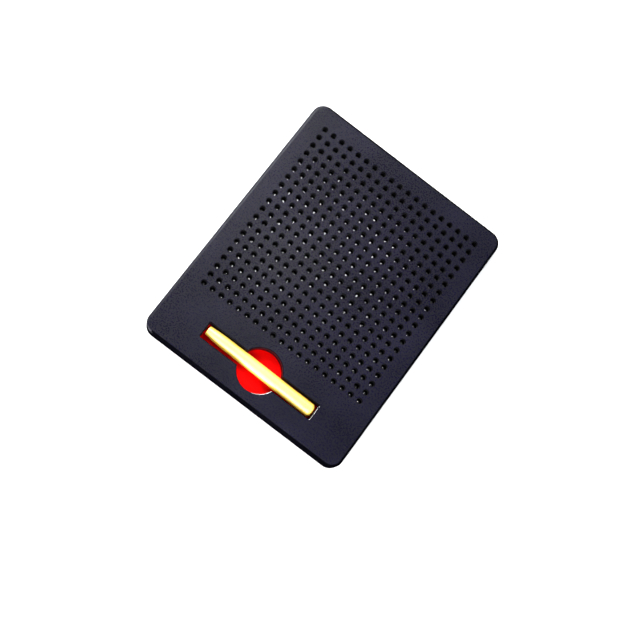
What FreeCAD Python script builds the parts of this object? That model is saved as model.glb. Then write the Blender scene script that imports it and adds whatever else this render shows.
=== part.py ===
import FreeCAD, Part
import math
import os

# Magnetic ball drawing board with its stylus.
# A flat tablet holds a grid of loose steel balls in cells. A magnet in the
# stylus pulls a ball up until it seats under its hole in the front shell, and
# a fingertip pushes it back down. The stylus lies in a tray below the grid.
#
# Frame: millimetres, origin at the middle of the flat back, +Z out of the
# front face, +Y towards the top of the board, +X to the right.

V = FreeCAD.Vector

# ---------------------------------------------------------------- board
BOARD_X = 155.0          # width
BOARD_Y = 195.0          # height
BOARD_T = 10.5           # thickness
CORNER_R = 8.5           # plan corner radius
EDGE_R = 2.2             # rounding of the front edge
BACK_CHAMFER = 0.4       # break on the rear edge of the skirt
SKIRT_T = 1.8            # side wall
RIM_T = 1.1              # side wall beside the back cover, where it is rebated
DECK_T = 1.8             # front deck

# ---------------------------------------------------------------- grid
PITCH = 7.0
COLS = 19
ROWS = 20
GRID_CY = 15.8           # centre of the grid above the board's centre
HOLE_D = 3.9             # opening in the front face
HOLE_EDGE_R = 0.2        # rounding of the opening's front edge
LIP_T = 0.6              # depth of that opening: the ball seats under it
CELL_D = 4.9             # bore that guides the ball
COLLAR_D = 6.2           # collar or tube round that bore
COLLAR_END_Z = 7.4       # lower end of the collars under the deck

# ---------------------------------------------------------------- balls
BALL_D = 4.5
BALL_FLOOR_GAP = 0.15    # ball to cover, at rest

# ---------------------------------------------------------------- inside
COVER_T = 1.2            # back cover, whose inner face is the tray's floor
COVER_GAP = 0.15         # cover to rim, all round
MAT_T = 0.5              # thin flexible mat whose holes pinch a raised ball
MAT_HOLE_D = 4.1
PLATE_TOP_Z = COLLAR_END_Z - MAT_T
PLATE_BOTTOM_Z = COVER_T + 0.05
WEB_T = 1.2              # web that joins the tubes of the cell plate
FIELD_X = 2 * (66.1 + 1.2)             # outline of the mat and cell plate
FIELD_Y = 2 * (69.6 + 1.2)
FIELD_R = 3.0
FIELD_RIM_T = 1.0        # rim wall under the cell plate's edge

# ---------------------------------------------------------------- tray
TRAY_CY = -74.5
SLOT_L = 88.0
SLOT_W = 11.6
SLOT_R = 0.6
FINGER_D = 30.0          # round recess that lets fingers lift the stylus
NECK_R = 0.8             # where the round recess meets the slot
TRAY_EDGE_R = 0.5        # rounding of the tray's upper edge
TRAY_WALL = 1.5

# ---------------------------------------------------------------- screws
BOSS_D = 5.0
BOSS_HOLE_D = 1.9
BOSS_HOLE_TOP_Z = 6.6
SCREW_D = 2.2
SCREW_HEAD_R = 2.0
SCREW_TOP_Z = 5.9
SCREW_RECESS = 0.1       # the heads sit this far inside the flat back
SCREWS = [(-70.4, 90.4), (0.0, 91.2), (70.4, 90.4),
          (-71.6, 38.0), (71.6, 38.0), (-71.6, -18.0), (71.6, -18.0),
          (-70.4, -90.4), (0.0, -92.4), (70.4, -90.4)]

# ---------------------------------------------------------------- stylus
STYLUS_L = 85.4
STYLUS_GAP = 0.15        # stylus to tray floor
STYLUS_SKEW = -1.05      # degrees: it lies a little askew in the slot
STYLUS_CX = 0.3
STYLUS_CY = -73.85
# distance from the blunt tip, radius
STYLUS_PROFILE = [(0.35, 3.12), (2.0, 3.30), (8.0, 3.90), (18.0, 4.20),
                  (40.0, 4.37), (64.0, 4.52), (79.0, 4.64)]
STYLUS_TIP_EDGE = 0.35   # rounding of the tip's edge
STYLUS_TAIL_R = 2.7      # rounding of the tail
PLUG_SEAM = 79.0         # where the end plug meets the barrel
STYLUS_BORE_R = 2.5
MAGNET_R = 2.0
MAGNET_L = 9.0
MAGNET_START = 1.0

NODES = {}


def rounded_wire(w, h, r, z, cx=0.0, cy=0.0):
    """Closed rounded-rectangle wire in a plane of constant z."""
    x0, x1, y0, y1 = cx - w / 2, cx + w / 2, cy - h / 2, cy + h / 2
    k = r * (1 - math.sqrt(0.5))
    edges = []

    def line(ax, ay, bx, by):
        edges.append(Part.LineSegment(V(ax, ay, z), V(bx, by, z)).toShape())

    def arc(ax, ay, mx, my, bx, by):
        edges.append(Part.Arc(V(ax, ay, z), V(mx, my, z), V(bx, by, z)).toShape())

    line(x0 + r, y0, x1 - r, y0)
    arc(x1 - r, y0, x1 - k, y0 + k, x1, y0 + r)
    line(x1, y0 + r, x1, y1 - r)
    arc(x1, y1 - r, x1 - k, y1 - k, x1 - r, y1)
    line(x1 - r, y1, x0 + r, y1)
    arc(x0 + r, y1, x0 + k, y1 - k, x0, y1 - r)
    line(x0, y1 - r, x0, y0 + r)
    arc(x0, y0 + r, x0 + k, y0 + k, x0 + r, y0)
    return Part.Wire(edges)


def rounded_block(w, h, r, z0, z1, cx=0.0, cy=0.0):
    face = Part.Face(rounded_wire(w, h, r, z0, cx, cy))
    return face.extrude(V(0, 0, z1 - z0))


def circle_wire(x, y, z, r):
    return Part.Wire([Part.Circle(V(x, y, z), V(0, 0, 1), r).toShape()])


def cylinder(x, y, z0, z1, r):
    return Part.makeCylinder(r, z1 - z0, V(x, y, z0))


def wall(x, y, z0, z1, r):
    """The round side of a cylinder, as one face."""
    solid = cylinder(x, y, z0, z1, r)
    return [f for f in solid.Faces if isinstance(f.Surface, Part.Cylinder)][0]


def ring(x, y, z, r_out, r_in):
    return face_with_holes(circle_wire(x, y, z, r_out), [circle_wire(x, y, z, r_in)])


def face_with_holes(outer, holes):
    return Part.makeFace([outer] + holes, "Part::FaceMakerBullseye")


def closed_solid(faces):
    shell = Part.makeShell(faces)
    shell.sewShape()
    solid = Part.makeSolid(shell)
    if solid.Volume < 0:
        solid.reverse()
    return solid


CENTRES = [[((c - (COLS - 1) / 2) * PITCH, GRID_CY + ((ROWS - 1) / 2 - r) * PITCH)
            for c in range(COLS)] for r in range(ROWS)]
ALL_CENTRES = [p for row in CENTRES for p in row]


def tray_block(grow, z0, z1, corner_r, neck_r):
    """Slot and round recess as one upright block, enlarged by grow."""
    slot = rounded_block(SLOT_L + 2 * grow, SLOT_W + 2 * grow, corner_r, z0, z1, 0, TRAY_CY)
    disc = cylinder(0, TRAY_CY, z0, z1, FINGER_D / 2 + grow)
    block = slot.fuse(disc).removeSplitter()
    if neck_r:
        half = SLOT_W / 2 + grow
        x = math.sqrt((FINGER_D / 2 + grow) ** 2 - half ** 2)
        necks = []
        for e in block.Edges:
            if abs(e.Length - (z1 - z0)) > 1e-6:
                continue
            p = e.Vertexes[0].Point
            if abs(abs(p.x) - x) < 1e-3 and abs(abs(p.y - TRAY_CY) - half) < 1e-3:
                necks.append(e)
        block = block.makeFillet(neck_r, necks)
    return block


# ================================================================ front shell
# One black moulding: rounded side wall, deck with the grid of holes, a collar
# under each hole, the walls of the stylus tray and the screw bosses.
deck_z = BOARD_T - DECK_T
lip_z = BOARD_T - LIP_T

body = rounded_block(BOARD_X, BOARD_Y, CORNER_R, 0, BOARD_T)
front_edges = [e for e in body.Edges
               if all(abs(v.Point.z - BOARD_T) < 1e-6 for v in e.Vertexes)]
body = body.makeFillet(EDGE_R, front_edges)
back_edges = [e for e in body.Edges if all(abs(v.Point.z) < 1e-6 for v in e.Vertexes)]
body = body.makeChamfer(BACK_CHAMFER, back_edges)

hollow = rounded_block(BOARD_X - 2 * SKIRT_T, BOARD_Y - 2 * SKIRT_T,
                       CORNER_R - SKIRT_T, COVER_T + 0.05, deck_z)
rebate = rounded_block(BOARD_X - 2 * RIM_T, BOARD_Y - 2 * RIM_T,
                       CORNER_R - RIM_T, -1.0, COVER_T + 0.05)
body = body.cut(hollow.fuse(rebate))

bosses = []
for (x, y) in SCREWS:
    bosses.append(cylinder(x, y, COVER_T + 0.05, deck_z + 0.2, BOSS_D / 2))
    # short rib that ties the boss to the nearest side wall
    if abs(x) > 60:
        s = 1 if x > 0 else -1
        reach = BOARD_X / 2 - SKIRT_T / 2
        bosses.append(Part.makeBox(reach - abs(x), 1.2, deck_z + 0.2 - 2.6,
                                   V(x if s > 0 else -reach, y - 0.6, 2.6)))
tray_walls = tray_block(TRAY_WALL, COVER_T + 0.05, deck_z + 0.2, SLOT_R + TRAY_WALL, 0)
body = body.fuse(bosses + [tray_walls]).removeSplitter()
body = body.cut(tray_block(0.0, -1.0, BOARD_T + 1.0, SLOT_R, NECK_R))
tray_edges = []
for e in body.Edges:
    if all(abs(v.Point.z - BOARD_T) < 1e-6 for v in e.Vertexes):
        c = e.BoundBox.Center
        if abs(c.x) < 50 and abs(c.y - TRAY_CY) < 20:
            tray_edges.append(e)
body = body.makeFillet(TRAY_EDGE_R, tray_edges)
pilots = [cylinder(x, y, 0, BOSS_HOLE_TOP_Z, BOSS_HOLE_D / 2) for (x, y) in SCREWS]
body = body.cut(pilots)

# the two flat faces of the deck get the grid, and the shell closes through
# the stepped bores and round the collars
faces = []
for f in body.Faces:
    b = f.BoundBox
    flat = b.ZLength < 1e-6
    if flat and abs(b.ZMin - BOARD_T) < 1e-6:
        outer = f.OuterWire
        inner = [w for w in f.Wires if not w.isSame(outer)]
        inner += [circle_wire(x, y, BOARD_T, HOLE_D / 2 + HOLE_EDGE_R) for (x, y) in ALL_CENTRES]
        faces.append(face_with_holes(outer, inner))
    elif flat and abs(b.ZMin - deck_z) < 1e-6 and f.Area > 5000:
        outer = f.OuterWire
        inner = [w for w in f.Wires if not w.isSame(outer)]
        inner += [circle_wire(x, y, deck_z, COLLAR_D / 2) for (x, y) in ALL_CENTRES]
        faces.append(face_with_holes(outer, inner))
    else:
        faces.append(f)


def hole_faces():
    """Every face of one hole and its collar, on the Z axis."""
    r = HOLE_D / 2
    e = HOLE_EDGE_R
    m = e * (1 - math.sqrt(0.5))
    arc = Part.Arc(V(r, 0, BOARD_T - e), V(r + m, 0, BOARD_T - m), V(r + e, 0, BOARD_T)).toShape()
    rounding = arc.revolve(V(0, 0, 0), V(0, 0, 1), 360)
    return rounding.Faces + [
        wall(0, 0, lip_z, BOARD_T - e, r),
        ring(0, 0, lip_z, CELL_D / 2, r),
        wall(0, 0, COLLAR_END_Z, lip_z, CELL_D / 2),
        ring(0, 0, COLLAR_END_Z, COLLAR_D / 2, CELL_D / 2),
        wall(0, 0, COLLAR_END_Z, deck_z, COLLAR_D / 2)]


one_hole = hole_faces()
for (x, y) in ALL_CENTRES:
    for f in one_hole:
        g = f.copy()
        g.translate(V(x, y, 0))
        faces.append(g)
NODES["front_shell"] = closed_solid(faces)

# ============================================================== retaining mat
# Thin flexible sheet pinched between the collars and the cell plate. Each
# hole is smaller than a ball, so a ball snaps through and stays where it is.
mat = face_with_holes(
    rounded_wire(FIELD_X, FIELD_Y, FIELD_R, PLATE_TOP_Z, 0, GRID_CY),
    [circle_wire(x, y, PLATE_TOP_Z, MAT_HOLE_D / 2) for (x, y) in ALL_CENTRES])
NODES["retaining_mat"] = mat.extrude(V(0, 0, MAT_T))

# ============================================================ ball cell plate
# Web with one guide tube per ball, and a rim wall round its edge.
web_z = PLATE_TOP_Z - WEB_T
outer_top = rounded_wire(FIELD_X, FIELD_Y, FIELD_R, PLATE_TOP_Z, 0, GRID_CY)
outer_low = rounded_wire(FIELD_X, FIELD_Y, FIELD_R, PLATE_BOTTOM_Z, 0, GRID_CY)
inner_w = FIELD_X - 2 * FIELD_RIM_T
inner_h = FIELD_Y - 2 * FIELD_RIM_T
inner_low = rounded_wire(inner_w, inner_h, FIELD_R - FIELD_RIM_T, PLATE_BOTTOM_Z, 0, GRID_CY)
inner_top = rounded_wire(inner_w, inner_h, FIELD_R - FIELD_RIM_T, web_z, 0, GRID_CY)
faces = [
    face_with_holes(outer_top, [circle_wire(x, y, PLATE_TOP_Z, CELL_D / 2) for (x, y) in ALL_CENTRES]),
    face_with_holes(inner_top, [circle_wire(x, y, web_z, COLLAR_D / 2) for (x, y) in ALL_CENTRES]),
    face_with_holes(outer_low, [inner_low]),
]
faces += outer_low.extrude(V(0, 0, PLATE_TOP_Z - PLATE_BOTTOM_Z)).Faces
faces += inner_low.extrude(V(0, 0, web_z - PLATE_BOTTOM_Z)).Faces
for (x, y) in ALL_CENTRES:
    faces.append(wall(x, y, PLATE_BOTTOM_Z, PLATE_TOP_Z, CELL_D / 2))
    faces.append(ring(x, y, PLATE_BOTTOM_Z, COLLAR_D / 2, CELL_D / 2))
    faces.append(wall(x, y, PLATE_BOTTOM_Z, web_z, COLLAR_D / 2))
NODES["ball_cell_plate"] = closed_solid(faces)

# ================================================================= back cover
# Red plate let into the rebate of the skirt. Its inner face is the floor of
# the tray and of the cells.
cover = rounded_block(BOARD_X - 2 * (RIM_T + COVER_GAP), BOARD_Y - 2 * (RIM_T + COVER_GAP),
                      CORNER_R - RIM_T - COVER_GAP, 0, COVER_T)
sinks = []
for (x, y) in SCREWS:
    depth = 0.93
    sinks.append(Part.makeCone(SCREW_HEAD_R + 0.23, SCREW_HEAD_R + 0.23 - depth, depth, V(x, y, 0)))
    sinks.append(cylinder(x, y, -0.5, COVER_T + 0.5, SCREW_HEAD_R + 0.23 - depth))
NODES["back_cover"] = cover.cut(sinks)

# ================================================================ cover screws
# Small self-tapping screws with countersunk cross-recess heads.
screws = []
for (x, y) in SCREWS:
    z0 = SCREW_RECESS
    r = SCREW_D / 2
    cone_h = SCREW_HEAD_R - r
    pts = [V(0, 0, z0), V(SCREW_HEAD_R, 0, z0), V(SCREW_HEAD_R, 0, z0 + 0.1),
           V(r, 0, z0 + 0.1 + cone_h), V(r, 0, SCREW_TOP_Z - 0.8), V(0.25, 0, SCREW_TOP_Z),
           V(0, 0, SCREW_TOP_Z), V(0, 0, z0)]
    half = Part.Face(Part.makePolygon(pts))
    screw = half.revolve(V(0, 0, 0), V(0, 0, 1), 360)
    cross = []
    for a in (0, 90):
        bar = Part.makeBox(2.3, 0.45, 0.65, V(-1.15, -0.225, z0 - 0.05))
        bar.rotate(V(0, 0, 0), V(0, 0, 1), a)
        cross.append(bar)
    screw = screw.cut(cross)
    screw.rotate(V(0, 0, 0), V(0, 0, 1), (x * 7.3 + y * 3.1) % 90)
    screw.translate(V(x, y, 0))
    screws.append(screw)
NODES["back_cover_screws"] = Part.makeCompound(screws)

# ====================================================================== balls
ball_z = COVER_T + BALL_FLOOR_GAP + BALL_D / 2
for n, row in enumerate(CENTRES, 1):
    NODES["ball_row_%02d" % n] = Part.makeCompound(
        [Part.makeSphere(BALL_D / 2, V(x, y, ball_z)) for (x, y) in row])

# ===================================================================== stylus
# Modelled along +X from the blunt tip at s = 0, then laid in the tray.
spline = Part.BSplineCurve()
spline.interpolate([V(s, r, 0) for (s, r) in STYLUS_PROFILE])
side = spline.toShape()
s0, r0 = STYLUS_PROFILE[0]
s1, r1 = STYLUS_PROFILE[-1]
e = STYLUS_TIP_EDGE
k = 1 - math.sqrt(0.5)
tip_arc = Part.Arc(V(0, r0 - e, 0), V(e * k, r0 - e * k, 0), V(s0, r0, 0)).toShape()


def seg(a, b):
    return Part.LineSegment(V(a[0], a[1], 0), V(b[0], b[1], 0)).toShape()


X_AXIS = (V(0, 0, 0), V(1, 0, 0))
barrel_face = Part.Face(Part.Wire([
    seg((0, 0), (0, r0 - e)), tip_arc, side, seg((s1, r1), (s1, 0)), seg((s1, 0), (0, 0))]))
barrel = barrel_face.revolve(*X_AXIS, 360)
magnet_end = MAGNET_START + MAGNET_L
magnet_bore = Part.makeCylinder(MAGNET_R + 0.05, magnet_end + 2.0 - MAGNET_START + 0.05,
                                V(MAGNET_START - 0.05, 0, 0), V(1, 0, 0))
long_bore = Part.makeCylinder(STYLUS_BORE_R, 100, V(magnet_end + 2.0, 0, 0), V(1, 0, 0))
barrel = barrel.cut(magnet_bore.fuse(long_bore))

magnet = Part.makeCylinder(MAGNET_R, MAGNET_L, V(MAGNET_START, 0, 0), V(1, 0, 0))
magnet = magnet.makeChamfer(0.2, [ed for ed in magnet.Edges if isinstance(ed.Curve, Part.Circle)])

t = STYLUS_TAIL_R
tail_start = STYLUS_L - t
r_tail = r1 + 0.02
stem_r = STYLUS_BORE_R - 0.03
stem_start = PLUG_SEAM - 7.0
seam = PLUG_SEAM + 0.05
plug_face = Part.Face(Part.Wire([
    seg((stem_start, 0), (stem_start, stem_r - 0.3)),
    seg((stem_start, stem_r - 0.3), (stem_start + 0.4, stem_r)),
    seg((stem_start + 0.4, stem_r), (seam, stem_r)),
    seg((seam, stem_r), (seam, r1)),
    seg((seam, r1), (tail_start, r_tail)),
    Part.Arc(V(tail_start, r_tail, 0), V(tail_start + t * math.sqrt(0.5), r_tail - t * k, 0),
             V(STYLUS_L, r_tail - t, 0)).toShape(),
    seg((STYLUS_L, r_tail - t), (STYLUS_L, 0)),
    seg((STYLUS_L, 0), (stem_start, 0))]))
plug = plug_face.revolve(*X_AXIS, 360)

axis_z = COVER_T + STYLUS_GAP + r_tail
for name, shape in (("stylus_barrel", barrel), ("stylus_magnet", magnet), ("stylus_end_plug", plug)):
    shape.translate(V(-STYLUS_L / 2, 0, 0))
    shape.rotate(V(0, 0, 0), V(0, 0, 1), STYLUS_SKEW)
    shape.translate(V(STYLUS_CX, STYLUS_CY, axis_z))
    NODES[name] = shape

# ===================================================================== export
os.makedirs("parts", exist_ok=True)
for name, shape in NODES.items():
    ok = shape.isValid() and all(s.isClosed() for s in shape.Solids)
    b = shape.BoundBox
    if not name.startswith("ball_row") or name.endswith("01"):
        print("%-20s solids %3d faces %5d volume %10.2f valid %s  z %.3f..%.3f" % (
            name, len(shape.Solids), len(shape.Faces), shape.Volume, ok, b.ZMin, b.ZMax))
    shape.exportStep("parts/%s.step" % name)
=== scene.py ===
import math

import bmesh
import bpy
import numpy as np
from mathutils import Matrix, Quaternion, Vector
from mathutils.geometry import delaunay_2d_cdt


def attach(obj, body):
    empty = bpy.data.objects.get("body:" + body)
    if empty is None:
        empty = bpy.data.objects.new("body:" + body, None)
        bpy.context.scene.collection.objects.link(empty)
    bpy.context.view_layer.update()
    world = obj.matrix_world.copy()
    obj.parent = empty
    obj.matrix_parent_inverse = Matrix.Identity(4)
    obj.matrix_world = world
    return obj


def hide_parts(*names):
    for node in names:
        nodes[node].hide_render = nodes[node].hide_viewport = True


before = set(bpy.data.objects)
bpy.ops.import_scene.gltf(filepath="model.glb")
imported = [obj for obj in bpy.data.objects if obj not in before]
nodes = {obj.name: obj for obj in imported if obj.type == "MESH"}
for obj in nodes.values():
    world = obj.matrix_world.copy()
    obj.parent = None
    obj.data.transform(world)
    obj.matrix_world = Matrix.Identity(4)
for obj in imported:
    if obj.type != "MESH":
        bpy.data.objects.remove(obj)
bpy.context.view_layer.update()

MM = 0.001
scene = bpy.context.scene
scene.view_settings.view_transform = "Standard"
scene.view_settings.look = "None"


# ------------------------------------------------------------------ materials
class Mat:
    """A small helper that wires a procedural material in the row frame, in metres."""

    def __init__(self, name):
        self.m = bpy.data.materials.new(name)
        self.m.use_nodes = True
        self.t = self.m.node_tree
        self.t.nodes.clear()
        self.out = self.t.nodes.new("ShaderNodeOutputMaterial")
        self.b = self.t.nodes.new("ShaderNodeBsdfPrincipled")
        self.t.links.new(self.b.outputs[0], self.out.inputs[0])
        self.co = self.t.nodes.new("ShaderNodeTexCoord").outputs["Object"]

    def put(self, **values):
        for k, v in values.items():
            self.b.inputs[k.replace("_", " ")].default_value = v
        return self

    def link(self, a, b):
        self.t.links.new(a, b)

    def noise(self, scale, detail=2.0, rough=0.5, distortion=0.0, stretch=None):
        n = self.t.nodes.new("ShaderNodeTexNoise")
        n.inputs["Scale"].default_value = scale
        n.inputs["Detail"].default_value = detail
        n.inputs["Roughness"].default_value = rough
        n.inputs["Distortion"].default_value = distortion
        src = self.co
        if stretch:
            mp = self.t.nodes.new("ShaderNodeMapping")
            mp.inputs["Scale"].default_value = stretch
            self.link(src, mp.inputs["Vector"])
            src = mp.outputs["Vector"]
        self.link(src, n.inputs["Vector"])
        return n.outputs["Fac"]

    def span(self, fac, lo, hi, a=0.3, b=0.7):
        r = self.t.nodes.new("ShaderNodeMapRange")
        r.inputs["From Min"].default_value = a
        r.inputs["From Max"].default_value = b
        r.inputs["To Min"].default_value = lo
        r.inputs["To Max"].default_value = hi
        self.link(fac, r.inputs["Value"])
        return r.outputs["Result"]

    def ramp(self, fac, stops):
        r = self.t.nodes.new("ShaderNodeValToRGB")
        e = r.color_ramp.elements
        while len(e) < len(stops):
            e.new(0.5)
        for el, (p, c) in zip(e, stops):
            el.position = p
            el.color = (*c, 1.0)
        self.link(fac, r.inputs["Fac"])
        return r.outputs["Color"]

    def math(self, a, b, op="ADD", clamp=False):
        n = self.t.nodes.new("ShaderNodeMath")
        n.operation = op
        n.use_clamp = clamp
        for i, v in enumerate((a, b)):
            if isinstance(v, (int, float)):
                n.inputs[i].default_value = v
            else:
                self.link(v, n.inputs[i])
        return n.outputs[0]

    def bump(self, layers):
        """Chained bumps: (height socket, depth in metres, strength)."""
        last = None
        for h, depth, strength in layers:
            n = self.t.nodes.new("ShaderNodeBump")
            n.inputs["Distance"].default_value = depth
            n.inputs["Strength"].default_value = strength
            self.link(h, n.inputs["Height"])
            if last is not None:
                self.link(last, n.inputs["Normal"])
            last = n.outputs["Normal"]
        self.link(last, self.b.inputs["Normal"])

    def color(self, sock):
        self.link(sock, self.b.inputs["Base Color"])

    def rough(self, sock):
        self.link(sock, self.b.inputs["Roughness"])


def shell_face():
    """Moulded front face: satin black with a slight blue cast and a spark-eroded grain."""
    m = Mat("shell_black_grain")
    m.put(Specular_IOR_Level=0.20)
    broad = m.noise(26.0, 3.0, 0.55)
    grain = m.noise(950.0, 2.0, 0.6)
    fine = m.noise(2300.0, 2.0, 0.6)
    mix = m.math(m.math(broad, 0.25, "MULTIPLY"), m.math(grain, 0.75, "MULTIPLY"))
    m.color(m.ramp(mix, [(0.43, (0.0, 0.0, 0.0030)), (0.50, (0.0004, 0.0003, 0.0052)),
                         (0.58, (0.0056, 0.0052, 0.0150))]))
    m.rough(m.math(m.span(broad, 0.365, 0.395), m.span(grain, 0.16, -0.16, 0.42, 0.58)))
    m.bump([(grain, 0.00014, 1.0), (fine, 0.00001, 0.4)])
    return m.m


def shell_side_painted_shade():
    """Side walls and shaded edges of the same moulding: a darker copy of the face plastic with no reflection, painted
    shade, and a coarser, duller texture.
    """
    m = Mat("shell_black_side_painted_shade")
    m.put(Specular_IOR_Level=0.0)
    broad = m.noise(60.0, 3.0, 0.55)
    grain = m.noise(1400.0, 3.0, 0.6)
    m.color(m.ramp(broad, [(0.3, (0.0005, 0.0005, 0.0010)), (0.7, (0.0014, 0.0013, 0.0022))]))
    m.rough(m.math(m.span(broad, 0.74, 0.80), m.span(grain, -0.05, 0.05)))
    m.bump([(grain, 0.00005, 0.5)])
    return m.m


def tray_rim():
    """Glossy coated edge of the stylus tray, slightly lighter than the face, put only where the rim faces the lamps so
    that a highlight shows there: painted highlight.
    """
    m = Mat("shell_tray_rim")
    m.put(Specular_IOR_Level=1.0, Coat_Weight=1.0, Coat_Roughness=0.24, Coat_IOR=2.2)
    n = m.noise(500.0, 3.0, 0.6)
    m.color(m.ramp(n, [(0.3, (0.0020, 0.0019, 0.0060)), (0.7, (0.0044, 0.0040, 0.0100))]))
    m.rough(m.span(n, 0.22, 0.32))
    m.bump([(n, 0.00001, 0.3)])
    return m.m


def tray_wall():
    """Smooth moulded wall of the stylus tray, which picks up the red floor."""
    m = Mat("shell_tray_wall")
    m.put(Specular_IOR_Level=0.12)
    n = m.noise(420.0, 3.0, 0.6)
    m.color(m.ramp(n, [(0.3, (0.0020, 0.0019, 0.0030)), (0.7, (0.0040, 0.0038, 0.0056))]))
    m.rough(m.span(n, 0.45, 0.55))
    m.bump([(n, 0.00001, 0.3)])
    return m.m


def black_inner():
    m = Mat("inner_black")
    m.put(Specular_IOR_Level=0.15)
    n = m.noise(700.0, 3.0, 0.6)
    m.color(m.ramp(n, [(0.3, (0.002, 0.002, 0.003)), (0.7, (0.005, 0.005, 0.006))]))
    m.rough(m.span(n, 0.55, 0.68))
    m.bump([(n, 0.00004, 0.4)])
    return m.m


def mat_sheet():
    m = Mat("mat_rubber")
    m.put(Specular_IOR_Level=0.25)
    n = m.noise(1500.0, 4.0, 0.6)
    m.color(m.ramp(n, [(0.3, (0.004, 0.004, 0.005)), (0.7, (0.009, 0.009, 0.010))]))
    m.rough(m.span(n, 0.7, 0.85))
    m.bump([(n, 0.00005, 0.6)])
    return m.m


def red_cover():
    m = Mat("cover_red")
    m.put(Specular_IOR_Level=0.04)
    broad = m.noise(45.0, 3.0, 0.5)
    grain = m.noise(1300.0, 3.0, 0.6)
    m.color(m.ramp(broad, [(0.3, (0.90, 0.0004, 0.0003)), (0.7, (0.98, 0.0010, 0.0008))]))
    m.rough(m.math(m.span(broad, 0.42, 0.50), m.span(grain, -0.04, 0.04)))
    m.bump([(grain, 0.00004, 0.35)])
    return m.m


def steel_ball():
    m = Mat("ball_steel")
    m.put(Metallic=1.0)
    n = m.noise(900.0, 3.0, 0.6)
    s = m.noise(260.0, 2.0, 0.5, stretch=(1.0, 4.0, 1.0))
    m.color(m.ramp(n, [(0.3, (0.72, 0.73, 0.75)), (0.7, (0.84, 0.85, 0.87))]))
    m.rough(m.math(m.span(n, 0.16, 0.22), m.span(s, -0.02, 0.03)))
    m.bump([(n, 0.000006, 0.25)])
    return m.m


def screw_zinc():
    m = Mat("screw_zinc")
    m.put(Metallic=1.0)
    n = m.noise(900.0, 4.0, 0.6)
    m.color(m.ramp(n, [(0.3, (0.42, 0.42, 0.44)), (0.7, (0.60, 0.60, 0.62))]))
    m.rough(m.span(n, 0.25, 0.42))
    m.bump([(n, 0.00002, 0.4)])
    return m.m


def magnet_nickel():
    m = Mat("magnet_nickel")
    m.put(Metallic=1.0)
    n = m.noise(600.0, 3.0, 0.5)
    m.color(m.ramp(n, [(0.3, (0.55, 0.54, 0.52)), (0.7, (0.68, 0.67, 0.65))]))
    m.rough(m.span(n, 0.14, 0.24))
    m.bump([(n, 0.00001, 0.3)])
    return m.m


def stylus_yellow():
    m = Mat("stylus_yellow")
    m.put(Specular_IOR_Level=1.0, Coat_Weight=1.0, Coat_Roughness=0.50, Coat_IOR=1.8)
    broad = m.noise(90.0, 3.0, 0.5, stretch=(0.35, 1.0, 1.0))
    grain = m.noise(1600.0, 3.0, 0.6)
    m.color(m.ramp(broad, [(0.3, (0.95, 0.58, 0.05)), (0.7, (0.98, 0.64, 0.08))]))
    m.rough(m.math(m.span(broad, 0.34, 0.42), m.span(grain, -0.03, 0.04)))
    m.bump([(grain, 0.00003, 0.3)])
    return m.m


FACE, SHADED_SIDE, INNER, RIM_HIGHLIGHT, WALL = shell_face(), shell_side_painted_shade(), black_inner(), tray_rim(), tray_wall()
YELLOW = stylus_yellow()
MATS = {
    "front_shell": FACE,
    "ball_cell_plate": INNER,
    "retaining_mat": mat_sheet(),
    "back_cover": red_cover(),
    "back_cover_screws": screw_zinc(),
    "stylus_barrel": YELLOW,
    "stylus_end_plug": YELLOW,
    "stylus_magnet": magnet_nickel(),
}
ball = steel_ball()
for name, o in nodes.items():
    o.data.materials.clear()
    o.data.materials.append(MATS.get(name, ball))


# ------------------------------------------------------------- mesh building
class Patchwork:
    """Faces given as points in millimetres with a normal at each corner, welded into one mesh."""

    def __init__(self):
        self.co, self.key, self.faces, self.normals, self.mats = [], {}, [], [], []

    def vid(self, p):
        k = (round(p[0] * 5000), round(p[1] * 5000), round(p[2] * 5000))
        i = self.key.get(k)
        if i is None:
            i = self.key[k] = len(self.co)
            self.co.append((p[0] * MM, p[1] * MM, p[2] * MM))
        return i

    def face(self, pts, nrm, mat=0):
        ids = [self.vid(p) for p in pts]
        keep = [i for i in range(len(ids)) if ids[i] != ids[i - 1]]
        if len(keep) < 3:
            return
        self.faces.append([ids[i] for i in keep])
        self.normals.extend(tuple(nrm[i]) for i in keep)
        self.mats.append(mat)

    def loft(self, a, b, na, nb, mat=0, flip=False):
        """A strip between two closed rings of the same length; mat may be a list with one entry per face."""
        n = len(a)
        mats = mat if isinstance(mat, list) else [mat] * n
        for i in range(n):
            j, mat = (i + 1) % n, mats[i]
            pts, nrm = [a[i], a[j], b[j], b[i]], [na[i], na[j], nb[j], nb[i]]
            if flip:
                pts, nrm = pts[::-1], nrm[::-1]
            self.face(pts, nrm, mat)

    def build(self, name):
        me = bpy.data.meshes.new(name)
        me.from_pydata(self.co, [], self.faces)
        me.polygons.foreach_set("material_index", self.mats)
        me.polygons.foreach_set("use_smooth", [True] * len(self.faces))
        me.update()
        me.normals_split_custom_set(self.normals)
        o = bpy.data.objects.new(name, me)
        scene.collection.objects.link(o)
        return o


def ring(xy, z):
    return [(p[0], p[1], z) for p in xy]


def tilt(xy, sideways, up):
    return [(n[0] * sideways, n[1] * sideways, up) for n in xy]


def rounded_rect(w, h, r, arcs=12, cx=0.0, cy=0.0):
    """Counter-clockwise outline and its outward normals."""
    pts, nrm = [], []
    for k, (sx, sy) in enumerate(((1, 1), (-1, 1), (-1, -1), (1, -1))):
        for i in range(arcs + 1):
            a = math.pi / 2 * (k + i / arcs)
            c, s = math.cos(a), math.sin(a)
            pts.append((cx + sx * (w / 2 - r) + r * c, cy + sy * (h / 2 - r) + r * s))
            nrm.append((c, s))
    return pts, nrm


def circle(x, y, r, n):
    return [(x + r * math.cos(2 * math.pi * i / n), y + r * math.sin(2 * math.pi * i / n)) for i in range(n)]


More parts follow.
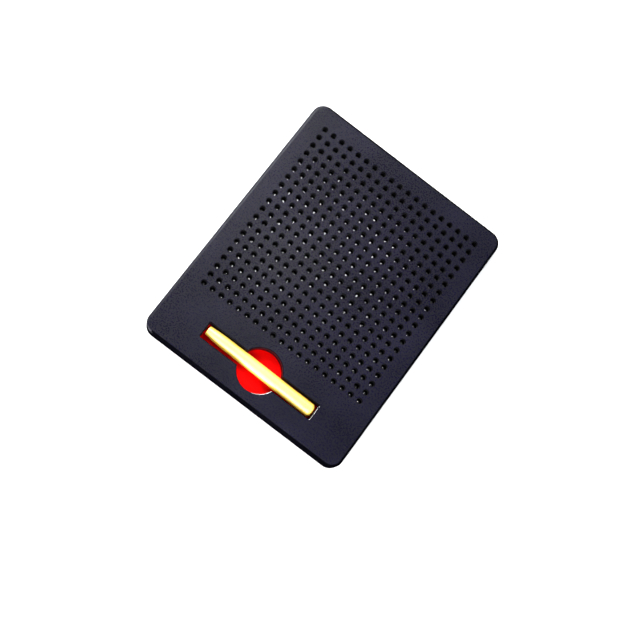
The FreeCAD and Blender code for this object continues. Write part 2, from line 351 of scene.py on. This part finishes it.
def arc_points(cx, cy, r, a0, a1, n, inward=False):
    pts, nrm = [], []
    for i in range(n + 1):
        a = math.radians(a0 + (a1 - a0) * i / n)
        c, s = math.cos(a), math.sin(a)
        pts.append((cx + r * c, cy + r * s))
        nrm.append((-c, -s) if inward else (c, s))
    return pts, nrm


def triangles(loops, edges_only=()):
    """Constrained triangulation of closed loops; returns points and triangles, loops kept as edges."""
    pts, edges = [], []
    for lp in loops:
        base = len(pts)
        pts += lp
        edges += [(base + i, base + (i + 1) % len(lp)) for i in range(len(lp))]
    vs, _, fs, ov, _, _ = delaunay_2d_cdt([Vector(p) for p in pts], edges, [], 0, 1e-6, True)
    out = [tuple(pts[o[0]]) if o else (v[0], v[1]) for v, o in zip(vs, ov)]
    return np.array(out), np.array(fs)


def inside(poly, q):
    """Even-odd test of many points against one closed loop."""
    poly = np.asarray(poly)
    x, y = q[:, 0], q[:, 1]
    hit = np.zeros(len(q), bool)
    for (x0, y0), (x1, y1) in zip(poly, np.roll(poly, -1, 0)):
        if y0 == y1:
            continue
        span = (y0 > y) != (y1 > y)
        hit ^= span & (x < (x1 - x0) * (y - y0) / (y1 - y0) + x0)
    return hit


# dimensions of the moulding, in millimetres, as in the CAD model
BX, BY, BT = 155.0, 195.0, 10.5
CORNER, EDGE, CHAMFER = 8.5, 2.2, 0.4
SKIRT, RIM, DECK, STEP_Z = 1.8, 1.1, 1.8, 1.25
PITCH, COLS, ROWS, GRID_CY = 7.0, 19, 20, 15.8
HOLE_R, HOLE_EDGE, LIP, CELL_R, COLLAR_R, COLLAR_Z = 1.95, 0.2, 0.6, 2.45, 3.1, 7.4
TRAY_CY, SLOT_L, SLOT_W, SLOT_R, FINGER_R, NECK = -74.5, 88.0, 11.6, 0.6, 15.0, 0.8
TRAY_EDGE, TRAY_WALL = 0.5, 1.5
SCREWS = [(-70.4, 90.4), (0.0, 91.2), (70.4, 90.4), (-71.6, 38.0), (71.6, 38.0),
          (-71.6, -18.0), (71.6, -18.0), (-70.4, -90.4), (0.0, -92.4), (70.4, -90.4)]
BOSS_R, PILOT_R, PILOT_TOP, RIB = 2.5, 0.95, 6.6, 0.6
HOLES = [((c - (COLS - 1) / 2) * PITCH, GRID_CY + ((ROWS - 1) / 2 - r) * PITCH)
         for r in range(ROWS) for c in range(COLS)]
SEG = 24


def tray_outline():
    """Opening of the stylus tray: slot and round recess, with normals into the moulding."""
    w, l, r, R, f = SLOT_W / 2, SLOT_L / 2, SLOT_R, FINGER_R, NECK
    xc = math.sqrt((R + f) ** 2 - (w + f) ** 2)
    b = math.degrees(math.atan2(w + f, xc))
    parts = [
        arc_points(l - r, w - r, r, 0, 90, 4),
        arc_points(xc, w + f, f, -90, -180 + b, 4, True),
        arc_points(0, 0, R, b, 180 - b, 32),
        arc_points(-xc, w + f, f, -b, -90, 4, True),
        arc_points(-l + r, w - r, r, 90, 180, 4),
        arc_points(-l + r, -w + r, r, 180, 270, 4),
        arc_points(-xc, -w - f, f, 90, b, 4, True),
        arc_points(0, 0, R, 180 + b, 360 - b, 32),
        arc_points(xc, -w - f, f, 180 - b, 90, 4, True),
        arc_points(l - r, -w + r, r, 270, 360, 4),
    ]
    pts, nrm = [], []
    for p, n in parts:
        for a, c in zip(p, n):
            a = (a[0], a[1] + TRAY_CY)
            if pts and math.dist(a, pts[-1]) < 1e-6:
                continue
            pts.append(a)
            nrm.append(c)
    return pts, nrm


def tray_block():
    """Outside of the tray walls, below the deck."""
    h, l, r, R = SLOT_W / 2 + TRAY_WALL, SLOT_L / 2 + TRAY_WALL, SLOT_R + TRAY_WALL, FINGER_R + TRAY_WALL
    b = math.degrees(math.asin(h / R))
    out = []
    for part in (arc_points(l - r, h - r, r, 0, 90, 4), arc_points(0, 0, R, b, 180 - b, 32),
                 arc_points(-l + r, h - r, r, 90, 180, 4), arc_points(-l + r, -h + r, r, 180, 270, 4),
                 arc_points(0, 0, R, 180 + b, 360 - b, 32), arc_points(l - r, -h + r, r, 270, 360, 4)):
        out += [(x, y + TRAY_CY) for x, y in part[0]]
    return out


def grow(pts, nrm, g):
    return [(p[0] + n[0] * g, p[1] + n[1] * g) for p, n in zip(pts, nrm)]


def near_hole(q, r):
    gx = np.round(q[:, 0] / PITCH)
    gy = np.round((q[:, 1] - GRID_CY) / PITCH - 0.5) + 0.5
    ok = (np.abs(gx) <= (COLS - 1) / 2 + 0.1) & (np.abs(gy) <= (ROWS - 1) / 2 + 0.1)
    d = np.hypot(q[:, 0] - gx * PITCH, q[:, 1] - GRID_CY - gy * PITCH)
    return ok & (d < r)


def front_shell():
    P = Patchwork()
    up, down = (0.0, 0.0, 1.0), (0.0, 0.0, -1.0)

    def outline(inset):
        return rounded_rect(BX - 2 * inset, BY - 2 * inset, CORNER - inset)

    def strip(i0, z0, n0, i1, z1, n1, mat):
        a, na = outline(i0)
        b, nb = outline(i1)
        if mat == "front":
            # the rounded edge takes the darker side finish past its first step on the front, right and back sides,
            # painted shade; the left side keeps the satin face finish further round, where the lamps catch it
            mat = [0 if p[0] < -70 or q else 1 for p, q in zip(a, [n0[0] < math.sin(math.radians(8))] * len(a))]
        P.loft(ring(b, z1), ring(a, z0), tilt(nb, *n1), tilt(na, *n0), mat)

    # rounded front edge, side wall, rear chamfer, rim and rebate
    k = 8
    for i in range(k):
        a0, a1 = math.pi / 2 * i / k, math.pi / 2 * (i + 1) / k
        strip(EDGE * (1 - math.sin(a0)), BT - EDGE * (1 - math.cos(a0)), (math.sin(a0), math.cos(a0)),
              EDGE * (1 - math.sin(a1)), BT - EDGE * (1 - math.cos(a1)), (math.sin(a1), math.cos(a1)), "front" if i < 5 else 1)
    h = math.sqrt(0.5)
    strip(0, BT - EDGE, (1, 0), 0, CHAMFER, (1, 0), 1)
    strip(0, CHAMFER, (h, -h), CHAMFER, 0, (h, -h), 1)
    strip(CHAMFER, 0, (0, -1), RIM, 0, (0, -1), 1)
    strip(RIM, 0, (-1, 0), RIM, STEP_Z, (-1, 0), 1)

    # stylus tray: rounded upper edge and wall
    tp, tn = tray_outline()
    # the glossy rim finish goes only where the edge faces the lamps, a painted highlight; the rest of the rounded edge
    # past its first step takes the darker side finish, painted shade
    lamp_facing_rim = []
    for i, a in enumerate(tn):
        b = tn[(i + 1) % len(tn)]
        lamp_facing_rim.append((a[0] + b[0]) * math.cos(math.radians(32)) - (a[1] + b[1]) * math.sin(math.radians(32))
                    > 2 * math.cos(math.radians(42)))
    k = 6
    last = None
    for i in range(k + 1):
        a = math.pi / 2 * i / k
        r = grow(tp, tn, TRAY_EDGE * (1 - math.sin(a)))
        now = (ring(r, BT - TRAY_EDGE * (1 - math.cos(a))), tilt(tn, -math.sin(a), math.cos(a)))
        if last:
            # painted highlight on the rim facing the lamps, painted shade on the rest past the first step
            P.loft(last[0], now[0], last[1], now[1], [(3 if w else 0 if i == 1 else 1) if i <= 4 else 4 for w in lamp_facing_rim])
        last = now
    P.loft(last[0], ring(tp, STEP_Z), last[1], last[1], 4)

    # holes: rounded edge, lip, bore and collar
    k = 3
    unit = circle(0, 0, 1.0, SEG)
    prof = []
    for i in range(k + 1):
        a = math.pi / 2 * i / k
        prof.append((HOLE_R + HOLE_EDGE * (1 - math.sin(a)), BT - HOLE_EDGE * (1 - math.cos(a)),
                     (-math.sin(a), math.cos(a))))
    deck = BT - DECK
    # past its first step the rounded hole edge, and the bore below it, take the darker non-reflecting side finish:
    # painted shade
    steps = [(prof[i], prof[i + 1], 0 if i == 0 else 1) for i in range(k)]
    lip = BT - LIP
    steps += [((HOLE_R, BT - HOLE_EDGE, (-1, 0)), (HOLE_R, lip, (-1, 0)), 1),
              ((HOLE_R, lip, (0, -1)), (CELL_R, lip, (0, -1)), 2),
              ((CELL_R, lip, (-1, 0)), (CELL_R, COLLAR_Z, (-1, 0)), 2),
              ((CELL_R, COLLAR_Z, (0, -1)), (COLLAR_R, COLLAR_Z, (0, -1)), 2),
              ((COLLAR_R, COLLAR_Z, (1, 0)), (COLLAR_R, deck, (1, 0)), 2)]
    for (x, y) in HOLES:
        for (r0, z0, n0), (r1, z1, n1), mat in steps:
            P.loft([(x + c * r0, y + s * r0, z0) for c, s in unit], [(x + c * r1, y + s * r1, z1) for c, s in unit],
                   tilt(unit, *n0), tilt(unit, *n1), mat)

    # front face
    outer = outline(EDGE)[0]
    tray = grow(tp, tn, TRAY_EDGE)
    pts, tri = triangles([outer, tray] + [circle(x, y, HOLE_R + HOLE_EDGE, SEG) for x, y in HOLES])
    mid = pts[tri].mean(1)
    keep = inside(outer, mid) & ~inside(tray, mid) & ~near_hole(mid, HOLE_R + HOLE_EDGE)
    for t in tri[keep]:
        P.face([(*pts[v], BT) for v in t], [up] * 3, 0)

    # inside: the cavity under the deck, between skirt, bosses, ribs and tray walls
    rim = outline(RIM)[0]
    hollow = outline(SKIRT)[0]
    block = tray_block()
    ribs = []
    for x, y in SCREWS:
        if abs(x) > 60:
            s = 1 if x > 0 else -1
            e = BX / 2 - (SKIRT + RIM) / 2
            x0, x1 = sorted((x, s * e))
            ribs.append([(x0, y - RIB), (x1, y - RIB), (x1, y + RIB), (x0, y + RIB)])
    loops = ([rim, hollow, block, tp] + ribs + [circle(x, y, BOSS_R, SEG) for x, y in SCREWS]
             + [circle(x, y, PILOT_R, 12) for x, y in SCREWS] + [circle(x, y, COLLAR_R, SEG) for x, y in HOLES])
    pts, tri = triangles(loops)
    mid = pts[tri].mean(1)
    cavity = inside(hollow, mid) & ~inside(block, mid)
    pilot = np.zeros(len(mid), bool)
    for (x, y) in SCREWS:
        cavity &= ~inside(circle(x, y, BOSS_R, SEG), mid)
        pilot |= inside(circle(x, y, PILOT_R, 12), mid)
    for r in ribs:
        cavity &= ~inside(r, mid)
    step = inside(rim, mid) & ~cavity & ~pilot & ~inside(tp, mid)
    # the circle of a collar is a polygon, so its own loop decides what lies in it
    in_collar = near_hole(mid, COLLAR_R * math.cos(math.pi / SEG))
    for t in tri[cavity & ~in_collar]:
        P.face([(*pts[v], deck) for v in t[::-1]], [down] * 3, 2)
    for t in tri[step]:
        P.face([(*pts[v], STEP_Z) for v in t[::-1]], [down] * 3, 1)
    for t in tri[pilot]:
        P.face([(*pts[v], PILOT_TOP) for v in t[::-1]], [down] * 3, 2)

    def walls(mask, z0, z1, mat):
        """Upright faces along the border of a region, facing into it."""
        border = {}
        for t in tri[mask]:
            for a, b in ((t[0], t[1]), (t[1], t[2]), (t[2], t[0])):
                if (b, a) in border:
                    del border[(b, a)]
                else:
                    border[(a, b)] = True
        for a, b in border:
            p, q = pts[a], pts[b]
            d = q - p
            n = np.array([-d[1], d[0]]) / np.hypot(*d)
            n = (n[0], n[1], 0.0)
            P.face([(*p, z0), (*p, z1), (*q, z1), (*q, z0)], [n] * 4, mat)

    walls(cavity, STEP_Z, deck, 2)
    walls(pilot, STEP_Z, PILOT_TOP, 2)
    return P.build("shell_moulding")


def natural_spline(xs, ys, n):
    """Smooth curve through points, sampled evenly in x."""
    xs, ys = np.array(xs, float), np.array(ys, float)
    m = len(xs)
    h = np.diff(xs)
    A = np.zeros((m, m))
    b = np.zeros(m)
    A[0, 0] = A[-1, -1] = 1
    for i in range(1, m - 1):
        A[i, i - 1], A[i, i], A[i, i + 1] = h[i - 1], 2 * (h[i - 1] + h[i]), h[i]
        b[i] = 6 * ((ys[i + 1] - ys[i]) / h[i] - (ys[i] - ys[i - 1]) / h[i - 1])
    M = np.linalg.solve(A, b)
    out = []
    for x in np.linspace(xs[0], xs[-1], n):
        i = min(max(np.searchsorted(xs, x) - 1, 0), m - 2)
        t, u = x - xs[i], xs[i + 1] - x
        out.append((x, (M[i] * u ** 3 + M[i + 1] * t ** 3) / (6 * h[i])
                    + (ys[i] / h[i] - M[i] * h[i] / 6) * u + (ys[i + 1] / h[i] - M[i + 1] * h[i] / 6) * t))
    return out


def lathe(name, runs, place, segments=96):
    """Closed body of revolution about X. Each run is a smooth stretch of (s, r); runs meet in sharp edges."""
    P = Patchwork()
    for run in runs:
        run = np.array(run, float)
        d = np.gradient(run, axis=0) if len(run) > 2 else np.repeat((run[1] - run[0])[None], 2, 0)
        n = np.c_[-d[:, 1], d[:, 0]]
        n /= np.linalg.norm(n, axis=1)[:, None]
        for i in range(len(run) - 1):
            (s0, r0), (s1, r1) = run[i], run[i + 1]
            for j in range(segments):
                f = [2 * math.pi * (j + q) / segments for q in (0, 1)]
                quad = [(s0, r0, f[0], n[i]), (s0, r0, f[1], n[i]), (s1, r1, f[1], n[i + 1]), (s1, r1, f[0], n[i + 1])]
                pts = [place((s, r * math.cos(a), r * math.sin(a))) for s, r, a, _ in quad]
                nrm = [place((v[0], v[1] * math.cos(a), v[1] * math.sin(a)), True) for _, _, a, v in quad]
                if r0 < 1e-9:
                    pts, nrm = [pts[0], pts[2], pts[3]], [nrm[0], nrm[2], nrm[3]]
                elif r1 < 1e-9:
                    pts, nrm = pts[:3], nrm[:3]
                P.face(pts, nrm)
    return P.build(name)


# the stylus, along +X from its blunt tip, then laid askew in the tray
LEN, SKEW, SEAM, TAIL = 85.4, math.radians(-1.05), 79.0, 2.7
PROFILE = [(0.35, 3.12), (2.0, 3.30), (8.0, 3.90), (18.0, 4.20), (40.0, 4.37), (64.0, 4.52), (79.0, 4.64)]
R_END = 4.64
R_TAIL = R_END + 0.02
AXIS = (0.3, -73.85, 1.2 + 0.15 + R_TAIL)


def lay(p, direction=False):
    s, y, z = p
    if not direction:
        s -= LEN / 2
    x2, y2 = s * math.cos(SKEW) - y * math.sin(SKEW), s * math.sin(SKEW) + y * math.cos(SKEW)
    return (x2, y2, z) if direction else (x2 + AXIS[0], y2 + AXIS[1], z + AXIS[2])


def corner_arc(cs, cr, r, a0, a1, n):
    """Arc in the (s, r) plane; angles in degrees from the +s axis."""
    return [(cs + r * math.cos(math.radians(a0 + (a1 - a0) * i / n)),
             cr + r * math.sin(math.radians(a0 + (a1 - a0) * i / n))) for i in range(n + 1)]


def barrel():
    e = 0.35
    body = natural_spline([p[0] for p in PROFILE], [p[1] for p in PROFILE], 80)
    tip = corner_arc(e, PROFILE[0][1] - e, e, 180, 90, 6)
    g = 0.10
    body = [p for p in body if p[0] < SEAM - g - 0.3]
    seam = corner_arc(SEAM - g, R_END - g, g, 90, 0, 4)
    return lathe("stylus_barrel_body", [
        [(0, 0), (0, PROFILE[0][1] - e)],
        tip + body[1:] + seam,
        [(SEAM, R_END - g), (SEAM, 2.5)],
        [(SEAM, 2.5), (12.0, 2.5)],
        [(12.0, 2.5), (12.0, 2.05)],
        [(12.0, 2.05), (0.95, 2.05)],
        [(0.95, 2.05), (0.95, 0)],
    ], lay)


def end_plug():
    g = 0.10
    s0 = SEAM + 0.05
    stem, start = 2.47, SEAM - 7.0
    side = corner_arc(s0 + g, R_END - g, g, 180, 90, 4)
    tail = corner_arc(LEN - TAIL, R_TAIL - TAIL, TAIL, 90, 0, 16)
    return lathe("stylus_plug_body", [
        [(start, 0), (start, stem - 0.3)],
        [(start, stem - 0.3), (start + 0.4, stem)],
        [(start + 0.4, stem), (s0, stem)],
        [(s0, stem), (s0, R_END - g)],
        side + tail,
        [(LEN, R_TAIL - TAIL), (LEN, 0)],
    ], lay)


shell = front_shell()
for m in (FACE, SHADED_SIDE, INNER, RIM_HIGHLIGHT, WALL):
    shell.data.materials.append(m)
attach(shell, "board")
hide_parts("front_shell")

for piece, node in ((barrel(), "stylus_barrel"), (end_plug(), "stylus_end_plug")):
    piece.data.materials.append(YELLOW)
    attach(piece, "stylus")
    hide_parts(node)


# ----------------------------------------------------------------- the stage
def floor():
    bm = bmesh.new()
    bmesh.ops.create_grid(bm, x_segments=24, y_segments=24, size=2.6)
    me = bpy.data.meshes.new("floor")
    bm.to_mesh(me)
    bm.free()
    o = bpy.data.objects.new("floor", me)
    o.location = (0.0, 0.0, -0.0003)
    scene.collection.objects.link(o)
    m = Mat("floor_paper")
    n = m.noise(9.0, 4.0, 0.5)
    m.color(m.ramp(n, [(0.3, (0.90, 0.90, 0.905)), (0.7, (0.925, 0.925, 0.93))]))
    m.rough(m.span(n, 0.75, 0.85))
    m.put(Specular_IOR_Level=0.1)
    me.materials.append(m.m)


floor()


def area(name, loc, target, size, radiance):
    d = bpy.data.lights.new(name, "AREA")
    d.shape = "RECTANGLE"
    d.size, d.size_y = size
    d.energy = math.pi * size[0] * size[1] * radiance
    o = bpy.data.objects.new(name, d)
    scene.collection.objects.link(o)
    o.location = loc
    o.rotation_mode = "QUATERNION"
    o.rotation_quaternion = (Vector(target) - Vector(loc)).to_track_quat("-Z", "Y")
    o.visible_camera = False
    return o


area("key_small", (-0.036, 0.052, 0.225), (-0.036, 0.052, 0.0), (0.030, 0.030), 22.0)
area("key_front", (-0.012, -0.020, 0.285), (-0.012, -0.020, 0.0), (0.030, 0.030), 12.0)
area("softbox_left", (-0.44, 0.29, 0.60), (0, 0, 0.01), (0.42, 0.29), 31.0)
area("softbox_back", (0.05, 0.85, 0.62), (0, 0, 0.01), (0.9, 0.5), 2.8)
area("fill_right", (1.0, 0.0, 0.72), (0, 0, 0.01), (1.2, 0.9), 3.2)
area("fill_front", (-0.15, -1.0, 0.25), (0, -0.1, 0.0), (1.7, 0.3), 19.0)
area("top_front", (0.02, -0.50, 0.58), (0, -0.07, 0.01), (0.5, 0.25), 9.0)

# studio surround: dark overhead, pale towards the horizon
world = bpy.data.worlds.new("studio")
world.use_nodes = True
wt = world.node_tree
bg = wt.nodes["Background"]
geo = wt.nodes.new("ShaderNodeTexCoord")
sep = wt.nodes.new("ShaderNodeSeparateXYZ")
wt.links.new(geo.outputs["Generated"], sep.inputs[0])
ramp = wt.nodes.new("ShaderNodeValToRGB")
e = ramp.color_ramp.elements
e[0].position, e[0].color = 0.30, (0.75, 0.75, 0.76, 1.0)
e[1].position, e[1].color = 0.72, (0.07, 0.07, 0.075, 1.0)
wt.links.new(sep.outputs["Z"], ramp.inputs["Fac"])
wt.links.new(ramp.outputs["Color"], bg.inputs[0])
bg.inputs[1].default_value = 1.0
scene.world = world

# ---------------------------------------------------------------- the camera
cam = bpy.data.cameras.new("camera")
cam.sensor_width = 36.0
cam.lens = 67.688
cam.clip_start, cam.clip_end = 0.01, 20.0
eye = bpy.data.objects.new("camera", cam)
scene.collection.objects.link(eye)
eye.location = (-0.000762, -0.204487, 0.771599)
eye.rotation_mode = "QUATERNION"
eye.rotation_quaternion = Quaternion((0.9411024, 0.1076590, -0.0443945, 0.3174349))
scene.camera = eye
